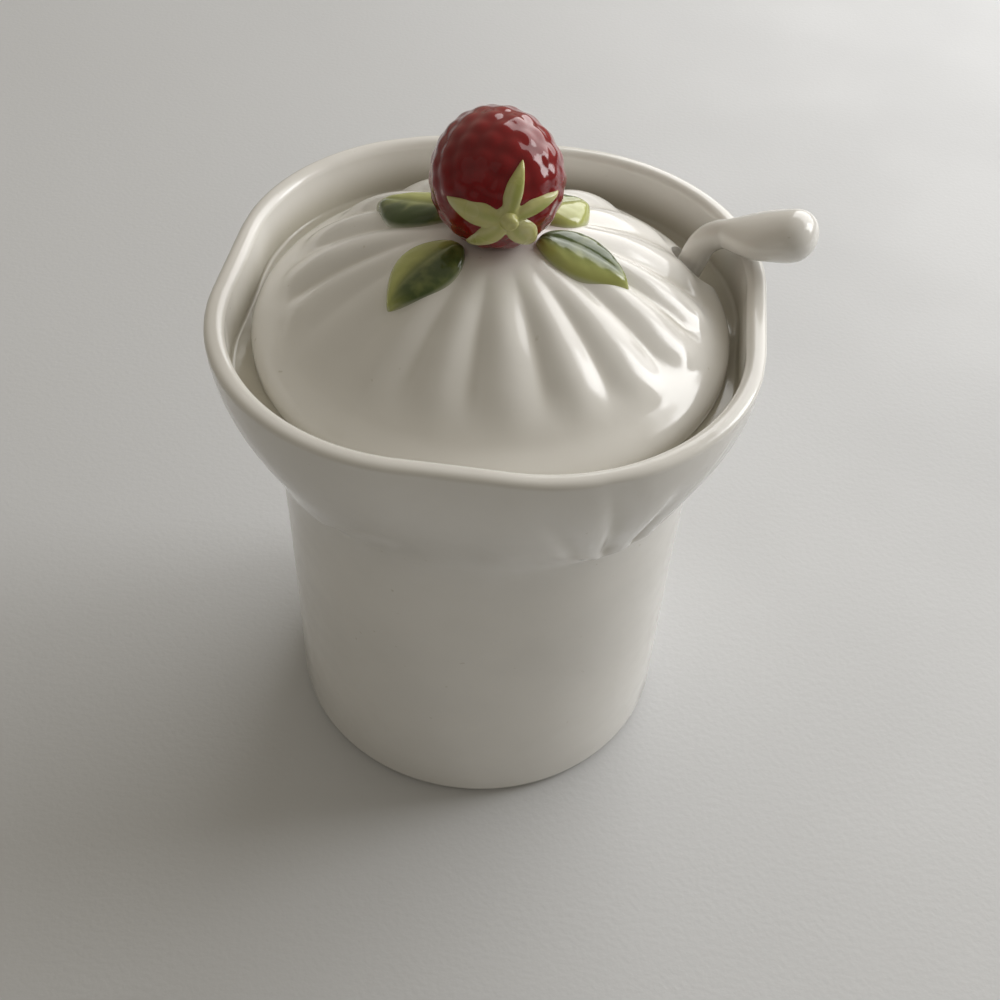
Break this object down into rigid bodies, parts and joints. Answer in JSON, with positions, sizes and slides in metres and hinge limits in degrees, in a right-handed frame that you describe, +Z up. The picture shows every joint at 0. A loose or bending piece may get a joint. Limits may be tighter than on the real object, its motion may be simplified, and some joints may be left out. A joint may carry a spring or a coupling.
{
  "type": "jam pot",
  "caption": "Glazed jam pot with a round body, a soft-square flared mouth, a gathered lid with a berry knob and leaves, and a spoon that stands in a notch of the lid.",
  "frame": {"origin": "middle of the foot, on the table", "axes": "+Z up along the axis of the round body; the four corners of the mouth lie at 45 degrees between X and Y; the berry's calyx faces roughly along -Y, the front"},
  "size_m": [0.0949, 0.0874, 0.1235],
  "materials": {
    "white_glaze": "glossy warm white glaze",
    "berry_glaze": "glossy deep crimson glaze",
    "sepal_glaze": "glossy yellow-green glaze",
    "leaf_glaze": "glossy leaf-green glaze, paler on one half"
  },
  "bodies": {
    "pot": {"pot_body": "white_glaze"},
    "lid": {"lid": "white_glaze", "berry": "berry_glaze", "calyx": "sepal_glaze", "stalk": "sepal_glaze", "leaf_back_left": "leaf_glaze", "leaf_front_left": "leaf_glaze", "leaf_front_right": "leaf_glaze", "leaf_back_right": "leaf_glaze"},
    "spoon": {"spoon": "white_glaze"}
  },
  "joints": [
    {"name": "lid_lift", "type": "slide", "parent": "pot", "child": "lid", "axis": [0, 0, 1], "range_m": [0, 0.06]},
    {"name": "spoon_lift", "type": "slide", "parent": "pot", "child": "spoon", "axis": [0.3226, 0.1825, 0.9288], "range_m": [0, 0.032]}
  ]
}
